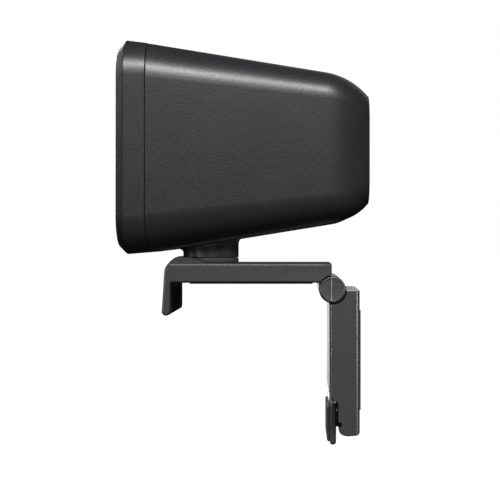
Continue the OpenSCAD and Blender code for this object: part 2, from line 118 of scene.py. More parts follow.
bezel_low, bezel_high = span("front_bezel")
housing_low, housing_high = span("rear_housing")
arm_low, arm_high = span("clip_arm")
leg_low, leg_high = span("leg")
foot_low, foot_high = span("foot")
ring_low, ring_high = span("lens_ring")
window_low, window_high = span("lens_window")
plate_low, plate_high = span("front_plate")
washer_low, washer_high = span("friction_washer")
seat_low, seat_high = span("seat_pad")
lip_low, lip_high = span("lip_pad")
strip_low, strip_high = span("leg_strip")
foot_pad_low, foot_pad_high = span("foot_pad")
cap_low, cap_high = span("hinge_cap_right")
grille_low, grille_high = span("rear_grille")
usb_low, usb_high = span("usb_shell")
pin_low, pin_high = span("hinge_pin")
foot_pin_low, foot_pin_high = span("foot_pin")

FACE_Y = bezel_low[1]
SEAM_GAP = 0.15
SEAM_SHOWN = 0.04
SEAM_Y = bezel_high[1] + SEAM_GAP
REAR_Y = housing_high[1]
HALF_W = bezel_high[0]
HEAD_Z = (bezel_low[2] + bezel_high[2]) / 2
HALF_H = (bezel_high[2] - bezel_low[2]) / 2
CORNER_R = 8.7
CHAMFER = 1.75
WALL = 2.2
LENS_OPENING_R = 14.1
LED_OPENING_R = 1.0
BEZEL_SLOPE = math.radians(7)
SIDE_SLOPE = math.radians(8.5)
TOP_SLOPE = math.radians(8.4)
UNDER_SLOPE = math.radians(9.15)
BEND_Y = REAR_Y - 10
UNDER_BEND_Y = REAR_Y - 7.4
BEND_R = 17.5
UNDER_BEND_R = 12.0
BEZEL_IN = (SEAM_Y - FACE_Y - CHAMFER) * math.tan(BEZEL_SLOPE)
PAN_Y = joint_at("head_pan")[0]
NECK_R = (washer_high[0] - washer_low[0]) / 2
NECK_BOTTOM = housing_low[2]
HINGE_Y, HINGE_Z = joint_at("leg_fold")
FOOT_Y, FOOT_Z = joint_at("foot_tilt")
ARM_HALF = arm_high[0]
ARM_FRONT = -20.7
ARM_REAR = 19.3
ARM_TOP = 4.8
ARM_UNDER = 0.26
ARM_EDGE = 0.5
SADDLE_RISE = 1.7
SADDLE_BACK = -11.0
SADDLE_RUN = 4.4
LIP_LOW = arm_low[2]
LIP_TIP_Y = -20.27
LIP_TIP_R = 1.06
LIP_FILLET = 0.45
SCREW_POCKET_R = 6.0
SCREW_HOLE_R = 3.4
LEG_FRONT = HINGE_Y - 0.74
LEG_REAR = leg_high[1]
LEG_EDGE = 0.3
LEG_TAIL_Y = 20.9
FOOT_TOP = FOOT_Z + 3.8
FOOT_BACK = 20.5
PIN_CLEARANCE = 0.04
BARREL_R = (cap_high[2] - cap_low[2]) / 2
SWING_R = BARREL_R + 0.32
KNUCKLE_IN = 10.2


# ---- mesh helpers ----


def link(obj):
    bpy.context.scene.collection.objects.link(obj)
    return obj


def from_bmesh(name, bm):
    bmesh.ops.recalc_face_normals(bm, faces=bm.faces)
    mesh = bpy.data.meshes.new(name)
    bm.to_mesh(mesh)
    bm.free()
    return link(bpy.data.objects.new(name, mesh))


def from_faces(name, points, faces):
    """Mesh object from points in millimetres."""
    bm = bmesh.new()
    verts = [bm.verts.new([c * MM for c in p]) for p in points]
    for face in faces:
        bm.faces.new([verts[i] for i in face])
    return from_bmesh(name, bm)


def loft(name, rings, closed=False):
    """Skin over rings of equal length. The ends are capped unless the run closes on itself."""
    count = len(rings[0])
    points = [p for ring in rings for p in ring]
    faces = []
    pairs = len(rings) if closed else len(rings) - 1
    for j in range(pairs):
        a, b = j * count, ((j + 1) % len(rings)) * count
        for i in range(count):
            k = (i + 1) % count
            faces.append((a + i, a + k, b + k, b + i))
    if not closed:
        faces.append(tuple(range(count - 1, -1, -1)))
        last = (len(rings) - 1) * count
        faces.append(tuple(range(last, last + count)))
    return from_faces(name, points, faces)


def prism(name, outline, place, start, end):
    """Flat outline drawn out between two levels; place turns (u, v, level) into (x, y, z)."""
    rings = [[place(u, v, level) for u, v in outline] for level in (start, end)]
    return loft(name, rings)


def inset(outline, d):
    """Outline moved inwards by d, corners mitred."""
    points = [p for i, p in enumerate(outline) if math.dist(p, outline[i - 1]) > 1e-4]
    count = len(points)
    area = 0.0
    for i, (u, v) in enumerate(points):
        area += points[i - 1][0] * v - u * points[i - 1][1]
    side = 1 if area > 0 else -1
    out = []
    for i, here in enumerate(points):
        before = Vector(here) - Vector(points[i - 1])
        after = Vector(points[(i + 1) % count]) - Vector(here)
        n1 = Vector((-before.y, before.x)).normalized() * side
        n2 = Vector((-after.y, after.x)).normalized() * side
        shift = (n1 + n2) * d / (1 + n1.dot(n2))
        out.append((here[0] + shift.x, here[1] + shift.y))
    return out


def edge_steps(radius, steps=5):
    """Pairs of (inset, distance from the end) that round an end off."""
    out = []
    for i in range(steps + 1):
        a = math.pi / 2 * i / steps
        out.append((radius * (1 - math.cos(a)), radius * (1 - math.sin(a))))
    return out


def rounded_prism(name, outline, place, start, end, radius, steps=5):
    """Prism whose two end edges are rounded."""
    levels = [(d, start + back) for d, back in reversed(edge_steps(radius, steps))]
    levels += [(d, end - back) for d, back in edge_steps(radius, steps)]
    rings = []
    for d, level in levels:
        rings.append([place(u, v, level) for u, v in inset(outline, d)])
    return loft(name, rings)


def along_x(u, v, level):
    return (level, u, v)


def along_y(u, v, level):
    return (u, level, v)


def along_z(u, v, level):
    return (u, v, level)


def circle(cu, cv, r, steps=48):
    turn = 2 * math.pi / steps
    return [(cu + r * math.cos(turn * i), cv + r * math.sin(turn * i)) for i in range(steps)]


def arc(cu, cv, r, start, end, steps=6):
    """Points on an arc, angles in degrees."""
    out = []
    for i in range(steps + 1):
        a = math.radians(start + (end - start) * i / steps)
        out.append((cu + r * math.cos(a), cv + r * math.sin(a)))
    return out


def soft_rect(cu, cv, w, h, r, steps=6):
    out = []
    for q, (su, sv) in enumerate(((1, 1), (-1, 1), (-1, -1), (1, -1))):
        out += arc(cu + su * (w / 2 - r), cv + sv * (h / 2 - r), r, 90 * q, 90 * q + 90, steps)
    return out


def box(name, low, high):
    outline = [(low[0], low[1]), (high[0], low[1]), (high[0], high[1]), (low[0], high[1])]
    return prism(name, outline, along_z, low[2], high[2])


def lathe(name, profile, place, steps=96, closed=True):
    """Profile of (radius, level) pairs turned round the axis that place gives."""
    rings = []
    for r, level in profile:
        rings.append([place(u, v, level) for u, v in circle(0, 0, r, steps)])
    return loft(name, rings, closed=closed)


def bake(obj):
    """Turns the object's modifiers into plain mesh."""
    graph = bpy.context.evaluated_depsgraph_get()
    mesh = bpy.data.meshes.new_from_object(obj.evaluated_get(graph))
    old = obj.data
    obj.modifiers.clear()
    obj.data = mesh
    bpy.data.meshes.remove(old)
    return obj


def combine(obj, tools, operation):
    for tool in tools:
        mod = obj.modifiers.new("combine", "BOOLEAN")
        mod.operation = operation
        mod.solver = "EXACT"
        mod.object = tool
    bake(obj)
    for tool in tools:
        bpy.data.objects.remove(tool)
    return obj


def cut(obj, *tools):
    return combine(obj, tools, "DIFFERENCE")


def keep(obj, *tools):
    return combine(obj, tools, "INTERSECT")


def join(obj, *others):
    """Adds the meshes of others to obj without merging them."""
    bm = bmesh.new()
    bm.from_mesh(obj.data)
    for other in others:
        bm.from_mesh(other.data)
        bpy.data.objects.remove(other)
    bm.to_mesh(obj.data)
    bm.free()
    return obj


def soften(obj, width, segments=3, angle=32):
    """Rounds every edge sharper than angle, then shades smooth with flat faces kept flat."""
    if width > 0:
        mod = obj.modifiers.new("soften", "BEVEL")
        mod.width = width * MM
        mod.segments = segments
        mod.limit_method = "ANGLE"
        mod.angle_limit = math.radians(angle)
        mod.use_clamp_overlap = True
        mod.miter_outer = "MITER_ARC"
        bake(obj)
    obj.data.shade_smooth()
    obj.data.set_sharp_from_angle(angle=math.radians(angle))
    mod = obj.modifiers.new("flat faces", "WEIGHTED_NORMAL")
    mod.keep_sharp = True
    mod.weight = 80
    return obj


# ---- materials ----


def nodes_for(name):
    mat = bpy.data.materials.new(name)
    mat.use_nodes = True
    tree = mat.node_tree
    shader = tree.nodes["Principled BSDF"]
    return mat, tree, shader


def noise(tree, coords, scale, detail=3.0, rough=0.5):
    node = tree.nodes.new("ShaderNodeTexNoise")
    node.inputs["Scale"].default_value = scale
    node.inputs["Detail"].default_value = detail
    node.inputs["Roughness"].default_value = rough
    tree.links.new(coords, node.inputs["Vector"])
    return node.outputs["Fac"]


def voronoi(tree, coords, scale):
    node = tree.nodes.new("ShaderNodeTexVoronoi")
    node.inputs["Scale"].default_value = scale
    tree.links.new(coords, node.inputs["Vector"])
    return node.outputs["Distance"]


def remap(tree, value, low, high, out_low, out_high):
    node = tree.nodes.new("ShaderNodeMapRange")
    node.inputs["From Min"].default_value = low
    node.inputs["From Max"].default_value = high
    node.inputs["To Min"].default_value = out_low
    node.inputs["To Max"].default_value = out_high
    tree.links.new(value, node.inputs["Value"])
    return node.outputs["Result"]


def blend_colours(tree, factor, first, second):
    """Mix of two colours; each is a socket or an (r, g, b) value."""
    node = tree.nodes.new("ShaderNodeMix")
    node.data_type = "RGBA"
    tree.links.new(factor, node.inputs["Factor"])
    for socket, value in ((node.inputs[6], first), (node.inputs[7], second)):
        if isinstance(value, tuple):
            socket.default_value = (*value, 1.0)
        else:
            tree.links.new(value, socket)
    return node.outputs[2]


def calc(tree, operation, first, second):
    node = tree.nodes.new("ShaderNodeMath")
    node.operation = operation
    for socket, value in zip(node.inputs, (first, second)):
        if isinstance(value, float):
            socket.default_value = value
        else:
            tree.links.new(value, socket)
    return node.outputs[0]


def bump(tree, height, distance, strength=1.0, below=None):
    node = tree.nodes.new("ShaderNodeBump")
    node.inputs["Strength"].default_value = strength
    node.inputs["Distance"].default_value = distance
    tree.links.new(height, node.inputs["Height"])
    if below is not None:
        tree.links.new(below, node.inputs["Normal"])
    return node.outputs["Normal"]


def object_coords(tree):
    return tree.nodes.new("ShaderNodeTexCoord").outputs["Object"]


def edge_mask(tree, low, high):
    """Rises on convex edges, where hands and packing rub."""
    geometry = tree.nodes.new("ShaderNodeNewGeometry")
    return remap(tree, geometry.outputs["Pointiness"], low, high, 0.0, 1.0)


def moulded(name, colour, rough, grain=3600.0, depth=0.00002, edge=0.35, specular=0.5):
    """Spark-eroded moulded plastic: fine pits, slight mottling, rubbed edges."""
    mat, tree, shader = nodes_for(name)
    coords = object_coords(tree)
    mottle = noise(tree, coords, 55.0, 4.0, 0.6)
    fine = noise(tree, coords, grain, 2.0, 0.6)
    pits = voronoi(tree, coords, grain * 0.55)
    light = tuple(min(1.0, c * 1.08) for c in colour)
    dark = tuple(c * 0.93 for c in colour)
    pale = tuple(min(1.0, c * 1.45 + 0.003) for c in colour)
    base = blend_colours(tree, remap(tree, mottle, 0.3, 0.7, 0.0, 1.0), dark, light)
    speck = blend_colours(tree, remap(tree, fine, 0.45, 0.75, 0.0, 0.6), base, pale)
    rubbed = tuple(min(1.0, c * 2.1 + 0.01) for c in colour)
    worn = calc(tree, "MULTIPLY", edge_mask(tree, 0.53, 0.62), edge)
    tree.links.new(blend_colours(tree, worn, speck, rubbed), shader.inputs["Base Color"])
    smooth = calc(tree, "SUBTRACT", remap(tree, mottle, 0.3, 0.7, rough - 0.02, rough + 0.02),
                  calc(tree, "MULTIPLY", worn, 0.35))
    roughness = calc(tree, "ADD", smooth, remap(tree, fine, 0.3, 0.7, -0.04, 0.04))
    tree.links.new(roughness, shader.inputs["Roughness"])
    height = calc(tree, "ADD", fine, calc(tree, "MULTIPLY", pits, 0.8))
    broad = bump(tree, mottle, 0.00003, 0.35)
    tree.links.new(bump(tree, height, depth, 0.6, broad), shader.inputs["Normal"])
    shader.inputs["Specular IOR Level"].default_value = specular
    return mat


def gloss(name, colour, rough=0.16):
    """Satin-gloss front plate with faint wipe marks and dust."""
    mat, tree, shader = nodes_for(name)
    coords = object_coords(tree)
    cloud = noise(tree, coords, 38.0, 5.0, 0.65)
    dust = noise(tree, coords, 5200.0, 1.0, 0.5)
    lighter = tuple(c * 1.5 + 0.002 for c in colour)
    base = blend_colours(tree, remap(tree, cloud, 0.35, 0.7, 0.0, 1.0), colour, lighter)
    speck = blend_colours(tree, remap(tree, dust, 0.72, 0.8, 0.0, 0.3), base, (0.12, 0.12, 0.12))
    tree.links.new(speck, shader.inputs["Base Color"])
    tree.links.new(remap(tree, cloud, 0.3, 0.75, rough, rough + 0.14), shader.inputs["Roughness"])
    tree.links.new(bump(tree, cloud, 0.00002, 0.25), shader.inputs["Normal"])
    shader.inputs["Coat Weight"].default_value = 0.25
    shader.inputs["Coat Roughness"].default_value = 0.12
    return mat


def rubber(name, colour, grain=1800.0):
    """Soft matte rubber with a fine leathery skin and rubbed high spots."""
    mat, tree, shader = nodes_for(name)
    coords = object_coords(tree)
    cells = voronoi(tree, coords, grain)
    cloud = noise(tree, coords, 90.0, 4.0, 0.6)
    lighter = tuple(c * 1.7 + 0.006 for c in colour)
    base = blend_colours(tree, remap(tree, cloud, 0.3, 0.7, 0.0, 1.0), colour, lighter)
    worn = calc(tree, "MULTIPLY", edge_mask(tree, 0.53, 0.62), 0.4)
    tree.links.new(blend_colours(tree, worn, base, lighter), shader.inputs["Base Color"])
    tree.links.new(remap(tree, cloud, 0.3, 0.7, 0.72, 0.9), shader.inputs["Roughness"])
    tree.links.new(bump(tree, cells, 0.00004, 0.5), shader.inputs["Normal"])
    shader.inputs["Specular IOR Level"].default_value = 0.35
    return mat


def metal(name, colour, rough, stretch=(1.0, 1.0, 30.0)):
    """Turned or plated metal with drawn lines and handling marks."""
    mat, tree, shader = nodes_for(name)
    coords = object_coords(tree)
    mapping = tree.nodes.new("ShaderNodeMapping")
    mapping.inputs["Scale"].default_value = stretch
    tree.links.new(coords, mapping.inputs["Vector"])
    lines = noise(tree, mapping.outputs["Vector"], 900.0, 4.0, 0.7)
    cloud = noise(tree, coords, 160.0, 3.0, 0.5)
    dark = tuple(c * 0.72 for c in colour)
    base = blend_colours(tree, remap(tree, cloud, 0.3, 0.7, 0.0, 1.0), dark, colour)
    tree.links.new(base, shader.inputs["Base Color"])
    roughness = remap(tree, lines, 0.3, 0.7, rough - 0.08, rough + 0.12)
    tree.links.new(roughness, shader.inputs["Roughness"])
    tree.links.new(bump(tree, lines, 0.00001, 0.4), shader.inputs["Normal"])
    shader.inputs["Metallic"].default_value = 1.0
    return mat


def board_finish(name):
    """Solder mask with traces under it."""
    mat, tree, shader = nodes_for(name)
    coords = object_coords(tree)
    brick = tree.nodes.new("ShaderNodeTexBrick")
    brick.inputs["Scale"].default_value = 420.0
    brick.inputs["Mortar Size"].default_value = 0.03
    tree.links.new(coords, brick.inputs["Vector"])
    cloud = noise(tree, coords, 300.0, 3.0, 0.5)
    mask = blend_colours(tree, remap(tree, cloud, 0.35, 0.65, 0.0, 1.0),
                         (0.008, 0.07, 0.035), (0.015, 0.12, 0.06))
    traced = blend_colours(tree, remap(tree, brick.outputs["Fac"], 0.0, 1.0, 0.0, 0.7),
                           mask, (0.05, 0.22, 0.09))
    tree.links.new(traced, shader.inputs["Base Color"])
    tree.links.new(remap(tree, cloud, 0.3, 0.7, 0.25, 0.4), shader.inputs["Roughness"])
    tree.links.new(bump(tree, brick.outputs["Fac"], 0.00003, 0.5), shader.inputs["Normal"])
    return mat


def clear(name, tint, rough, ior, coat=0.0):
    """Glass or clear moulding with faint smears."""
    mat, tree, shader = nodes_for(name)
    coords = object_coords(tree)
    smear = noise(tree, coords, 120.0, 4.0, 0.6)
    tree.links.new(remap(tree, smear, 0.45, 0.75, rough, rough + 0.05), shader.inputs["Roughness"])
    deep = tuple(c * 0.93 for c in tint)
    base = blend_colours(tree, remap(tree, smear, 0.3, 0.7, 0.0, 1.0), deep, tint)
    tree.links.new(base, shader.inputs["Base Color"])
    tree.links.new(bump(tree, smear, 0.000002, 0.1), shader.inputs["Normal"])
    shader.inputs["Transmission Weight"].default_value = 1.0
    shader.inputs["IOR"].default_value = ior
    shader.inputs["Coat Weight"].default_value = coat
    return mat


HEAD_GREY = (0.018, 0.0184, 0.0195)
CLIP_GREY = (0.027, 0.0275, 0.0285)

looks = {
    "head_plastic": moulded("head_plastic", HEAD_GREY, 0.36),
    "clip_plastic": moulded("clip_plastic", CLIP_GREY, 0.29, grain=3400.0, depth=0.00002),
    "face_plastic": gloss("face_plastic", (0.006, 0.006, 0.007)),
    "dark_trim": moulded("dark_trim", (0.012, 0.012, 0.013), 0.36, grain=4200.0, depth=0.00001),
    "lens_glass": clear("lens_glass", (0.90, 0.94, 0.97), 0.02, 1.45, 0.3),
    "pad_rubber": rubber("pad_rubber", (0.016, 0.016, 0.017)),
    "thermal_rubber": rubber("thermal_rubber", (0.22, 0.27, 0.34)),
    "board": board_finish("board"),
    "chip_plastic": moulded("chip_plastic", (0.014, 0.014, 0.015), 0.42, grain=2600.0),
    "clear_plastic": clear("clear_plastic", (0.93, 0.95, 0.97), 0.12, 1.49),
    "sink_aluminium": metal("sink_aluminium", (0.52, 0.53, 0.55), 0.34),
    "insert_brass": metal("insert_brass", (0.66, 0.46, 0.18), 0.3),
    "fixing_steel": metal("fixing_steel", (0.50, 0.50, 0.52), 0.28),
}


def finish_piece(obj, slot, body, *nodes):
    """Gives a piece its material and body, and the CAD nodes that it stands in for."""
    obj.data.materials.clear()
    obj.data.materials.append(looks[slot])
    if nodes:
        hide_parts(*nodes)
    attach(obj, body)
    return obj


# ---- camera head ----


def moved_in(y, bend_at, slope, r):
    """How far a housing wall has moved in at depth y: a slope, then a rounded bend."""
    if y < bend_at:
        return (y - SEAM_Y) * math.tan(slope)
    turned = math.asin(min(1.0, math.sin(slope) + (y - bend_at) / r))
    return (bend_at - SEAM_Y) * math.tan(slope) + r * (math.cos(slope) - math.cos(turned))


def under_at(y):
    """Height of the head's underside at depth y."""
    rise = moved_in(y, UNDER_BEND_Y, UNDER_SLOPE, UNDER_BEND_R)
    return HEAD_Z - HALF_H + BEZEL_IN + rise


def outline_ring(y, half_w, low, high, r, corner=12, flat=3):
    """Rounded rectangle at depth y, its straight runs split so that they shade evenly."""
    out = []
    side, upper, lower = half_w - r, high - r, low + r
    centres = ((side, upper), (-side, upper), (-side, lower), (side, lower))
    for q, (cx, cz) in enumerate(centres):
        bend = arc(cx, cz, r, 90 * q, 90 * q + 90, corner)
        nx, nz = centres[(q + 1) % 4]
        start = bend[-1]
        end = arc(nx, nz, r, 90 * (q + 1), 90 * (q + 1), 1)[0]
        out += bend
        for i in range(1, flat + 1):
            t = i / (flat + 1)
            out.append((start[0] + (end[0] - start[0]) * t, start[1] + (end[1] - start[1]) * t))
    return [(x, y, z) for x, z in out]


def shell_ring(y, skin, at=None):
    """Housing outline at depth y, inset by skin. at gives another depth to take the walls from."""
    d = y if at is None else at
    half_w = HALF_W - BEZEL_IN - moved_in(d, BEND_Y, SIDE_SLOPE, BEND_R) - skin
    top = HEAD_Z + HALF_H - BEZEL_IN - moved_in(d, BEND_Y, TOP_SLOPE, BEND_R) - skin
    r = CORNER_R - 2.6 * (d - SEAM_Y) / (REAR_Y - SEAM_Y) - skin
    return outline_ring(y, half_w, under_at(d) + skin, top, r)


def bezel_ring(y, skin):
    return outline_ring(
        y, HALF_W - skin, HEAD_Z - HALF_H + skin, HEAD_Z + HALF_H - skin, max(CORNER_R - skin, 0.6)
    )


def slot_tool(x, z, w, h, r, y0, y1):
    """Round-cornered cutter along Y."""
    return prism("tool", soft_rect(x, z, w, h, r, 8), along_y, y0, y1)


def rear_housing():
    """Hollow rear shell with the openings for the grille and the inlet."""
    front = SEAM_Y + SEAM_SHOWN
    rings = [shell_ring(front, WALL), shell_ring(front, 0.12)]
    rings += [shell_ring(front + 0.04, 0.03), shell_ring(front + 0.25, 0.0)]
    run = 12
    for i in range(1, run + 1):
        y = front + 0.25 + (BEND_Y - front - 0.25) * i / run
        rings.append(shell_ring(y, 0))
    bend = 22
    last = REAR_Y - 0.14
    for i in range(1, bend + 1):
        rings.append(shell_ring(BEND_Y + (last - BEND_Y) * i / bend, 0))
    rings.append(shell_ring(REAR_Y - 0.05, 0.06, last))
    rings.append(shell_ring(REAR_Y, 0.28, last))
    rings.append(shell_ring(REAR_Y, 1.4, last))
    outer_end = len(rings)
    inner = [shell_ring(REAR_Y - WALL, WALL, REAR_Y - WALL)]
    for i in range(6):
        y = REAR_Y - WALL - (REAR_Y - WALL - BEND_Y) * (i + 1) / 6
        inner.append(shell_ring(y, WALL))
    inner.append(shell_ring((BEND_Y + front) / 2, WALL))
    count = len(rings[0])
    points = [p for ring in rings + inner for p in ring]
    faces = []

    def strip(a, b):
        for i in range(count):
            k = (i + 1) % count
            faces.append((a * count + i, a * count + k, b * count + k, b * count + i))

    for j in range(outer_end - 1):
        strip(j, j + 1)
    faces.append(tuple(range((outer_end - 1) * count, outer_end * count)))
    total = outer_end + len(inner)
    for j in range(outer_end, total - 1):
        strip(j, j + 1)
    strip(total - 1, 0)
    faces.append(tuple(range((outer_end + 1) * count - 1, outer_end * count - 1, -1)))
    shell = from_faces("rear_housing_shell", points, faces)
    usb_z = (usb_low[2] + usb_high[2]) / 2
    vent_z = (grille_low[2] + grille_high[2]) / 2
    cut(
        shell,
        slot_tool(0, usb_z, 9.6, 3.9, 1.9, REAR_Y - 5, REAR_Y + 1),
        slot_tool(0, vent_z, 36, 9, 2, REAR_Y - 1, REAR_Y + 1),
    )
    cut(shell, slot_tool(0, vent_z, 33, 6.4, 1.2, REAR_Y - 5, REAR_Y + 1))
    soften(shell, 0.12, 2, 50)
    return finish_piece(shell, "head_plastic", "head", "rear_housing")


def neck():
    """Straight round neck that flares into the sloping underside, widest at the front."""
    steps = 96
    flare, extra_in_front = 1.35, 0.8
    turn = 2 * math.pi / steps
    rings = []
    foot_run = [(4.5, 0.0), (NECK_R - 0.22, 0.0), (NECK_R - 0.06, 0.07), (NECK_R, 0.24)]
    for r, up in foot_run:
        rings.append([(u, PAN_Y + v, NECK_BOTTOM + up) for u, v in circle(0, 0, r, steps)])
    bend = 8
    for j in range(bend + 1):
        a = math.radians(90 * j / bend)
        ring = []
        for i in range(steps):
            forward = max(0.0, -math.sin(turn * i)) ** 2
            r = NECK_R + flare * (1 + extra_in_front * forward) * (1 - math.cos(a))
            x, y = r * math.cos(turn * i), PAN_Y + r * math.sin(turn * i)
            ring.append((x, y, under_at(y) + 0.05 - flare * (1 - math.sin(a))))
        rings.append(ring)
    rings.append([(x * 0.98, PAN_Y + (y - PAN_Y) * 0.98, z + 0.8) for x, y, z in rings[-1]])
    obj = loft("neck", rings)
    soften(obj, 0, angle=50)
    return finish_piece(obj, "head_plastic", "head", "rear_housing")


def front_bezel():
    """Frame round the face: chamfer, sloping rim and the rebate behind the plate."""
    back = SEAM_Y - SEAM_SHOWN
    steps = [(2.9, FACE_Y + 2.0), (2.9, FACE_Y + 0.12), (2.8, FACE_Y + 0.02), (2.68, FACE_Y)]
    steps += [(1.98, FACE_Y), (1.82, FACE_Y + 0.03), (1.68, FACE_Y + 0.11)]
    steps += [(1.1, FACE_Y + 0.68), (0.6, FACE_Y + 1.18), (0.14, FACE_Y + 1.64)]
    steps += [(0.05, FACE_Y + 1.76), (0.02, FACE_Y + 1.92)]
    for i in range(1, 5):
        y = FACE_Y + 1.92 + (back - 0.25 - FACE_Y - 1.92) * i / 4
        steps.append(((y - FACE_Y - CHAMFER) * math.tan(BEZEL_SLOPE), y))
    steps += [(BEZEL_IN + 0.02, back - 0.04), (BEZEL_IN + 0.12, back)]
    steps += [(2.5, back), (2.5, FACE_Y + 3.2), (5.0, FACE_Y + 3.2), (5.0, FACE_Y + 2.0)]
    obj = loft("front_bezel_frame", [bezel_ring(y, skin) for skin, y in steps], closed=True)
    soften(obj, 0, angle=38)
    return finish_piece(obj, "head_plastic", "head", "front_bezel")


def front_plate():
    """Satin panel with the openings for the lens ring and the status light."""
    y0, y1 = plate_low[1], plate_high[1]
    w, h = plate_high[0] - plate_low[0], plate_high[2] - plate_low[2]
    z = (plate_high[2] + plate_low[2]) / 2
    obj = prism("front_plate_panel", soft_rect(0, z, w, h, CORNER_R - 2.95, 14), along_y, y0, y1)
    pipe_low, pipe_high = span("led_light_pipe")
    pipe_x = (pipe_low[0] + pipe_high[0]) / 2
    cut(
        obj,
        prism("tool", circle(0, HEAD_Z, LENS_OPENING_R, 96), along_y, y0 - 1, y1 + 1),
        prism("tool", circle(pipe_x, HEAD_Z, LED_OPENING_R, 32), along_y, y0 - 1, y1 + 1),
    )
    soften(obj, 0.14, 3, 40)
    return finish_piece(obj, "face_plastic", "head", "front_plate")


def lens_axis(u, v, level):
    return (u, level, HEAD_Z + v)


def lens_ring():
    """Turned trim ring with a groove in its face and treads down to the glass."""
    front = ring_low[1]
    r = ring_high[0]
    seat = plate_low[1]
    back = ring_high[1]
    glass_r = window_high[0] + 0.05
    run = [(14.0, back), (14.0, seat), (r, seat)]
    run += [(r, front + 0.42), (r - 0.05, front + 0.22), (r - 0.2, front + 0.06), (r - 0.42, front)]
    run += [(r - 2.0, front), (r - 2.12, front + 0.06), (r - 2.18, front + 0.2)]
    run += [(r - 2.5, front + 0.2), (r - 2.56, front + 0.06), (r - 2.68, front)]
    run += [(r - 3.3, front), (r - 3.46, front + 0.05), (r - 3.56, front + 0.18)]
    inner_start, inner_end = r - 3.62, glass_r + 0.25
    depth_start, depth_end = front + 0.3, FACE_Y + 0.95
    treads = 7
    for i in range(treads):
        t0, t1 = i / treads, (i + 1) / treads
        r0 = inner_start + (inner_end - inner_start) * t0
        r1 = inner_start + (inner_end - inner_start) * t1
        y0 = depth_start + (depth_end - depth_start) * t0
        y1 = depth_start + (depth_end - depth_start) * t1
        run += [(r0 - 0.03, y0), (r0 - 0.06, y1 - 0.03), (r1, y1)]
    run += [(glass_r, FACE_Y + 1.1), (glass_r, back)]
    obj = lathe("lens_trim_ring", run, lens_axis, 128)
    soften(obj, 0, angle=30)
    return finish_piece(obj, "dark_trim", "head", "lens_ring")


def lens_window():
    r, y0, y1 = window_high[0], window_low[1], window_high[1]
    run = [(0.001, y0), (r - 0.2, y0), (r, y0 + 0.15), (r, y1 - 0.15), (r - 0.2, y1), (0.001, y1)]
    obj = lathe("lens_cover_glass", run, lens_axis, 96, closed=False)
    soften(obj, 0, angle=30)
    return finish_piece(obj, "lens_glass", "head", "lens_window")


def rear_grille():
    y0, y1 = grille_low[1], grille_high[1]
    z = (grille_low[2] + grille_high[2]) / 2
    obj = prism("rear_vent_grille", soft_rect(0, z, 35.7, 8.7, 1.85, 8), along_y, y0, y1)
    bars = [
        prism("tool", soft_rect(2.4 * i, z, 1.2, 5.6, 0.55, 4), along_y, y0 - 1, y1 + 1)
        for i in range(-6, 7)
    ]
    cut(obj, *bars)
    soften(obj, 0.12, 2, 40)
    return finish_piece(obj, "dark_trim", "head", "rear_grille")


def usb_contacts():
    """Gold strips on both faces of the inlet's tongue."""
    tongue_end = span("usb_tongue")[1][1]
    mid_z = (usb_low[2] + usb_high[2]) / 2
    strips = []
    for i in range(12):
        x = -2.75 + 0.5 * i
        for side in (-1, 1):
            z = mid_z + side * 0.35
            low = (x - 0.13, tongue_end - 3.6, z - 0.03)
            strips.append(box("tool", low, (x + 0.13, tongue_end - 0.4, z + 0.03)))
    obj = join(strips[0], *strips[1:])
    obj.name = "usb_contacts"
    soften(obj, 0.015, 1)
    return finish_piece(obj, "insert_brass", "head")


# ---- clip ----


def rod_tool(x0, x1, y, z, r, steps=64):
    """Round cutter along X."""
    return prism("tool", circle(y, z, r, steps), along_x, x0, x1)


def arm_slice(crown):
    """Side profile (Y, Z) of the arm and lip. crown is 0 at its sides and 1 in the middle."""
    rise = SADDLE_RISE * crown
    corner_r = 1.7 + 0.9 * crown
    out = []
    run = 12
    for i in range(run + 1):
        out.append((ARM_REAR - (ARM_REAR - SADDLE_BACK) * i / run, ARM_TOP))
    run = 9
    for i in range(1, run + 1):
        t = i / run
        out.append((SADDLE_BACK - SADDLE_RUN * t, ARM_TOP + rise * (3 * t * t - 2 * t * t * t)))
    out += arc(ARM_FRONT + corner_r, ARM_TOP + rise - corner_r, corner_r, 90, 177, 12)
    out += arc(LIP_TIP_Y, LIP_LOW + LIP_TIP_R, LIP_TIP_R, 183, 360, 14)
    out += arc(-18.75, ARM_UNDER - LIP_FILLET, LIP_FILLET, 180, 90, 4)
    out += [(-10.0, ARM_UNDER), (0.0, ARM_UNDER), (10.0, ARM_UNDER), (ARM_REAR, ARM_UNDER)]
    return out


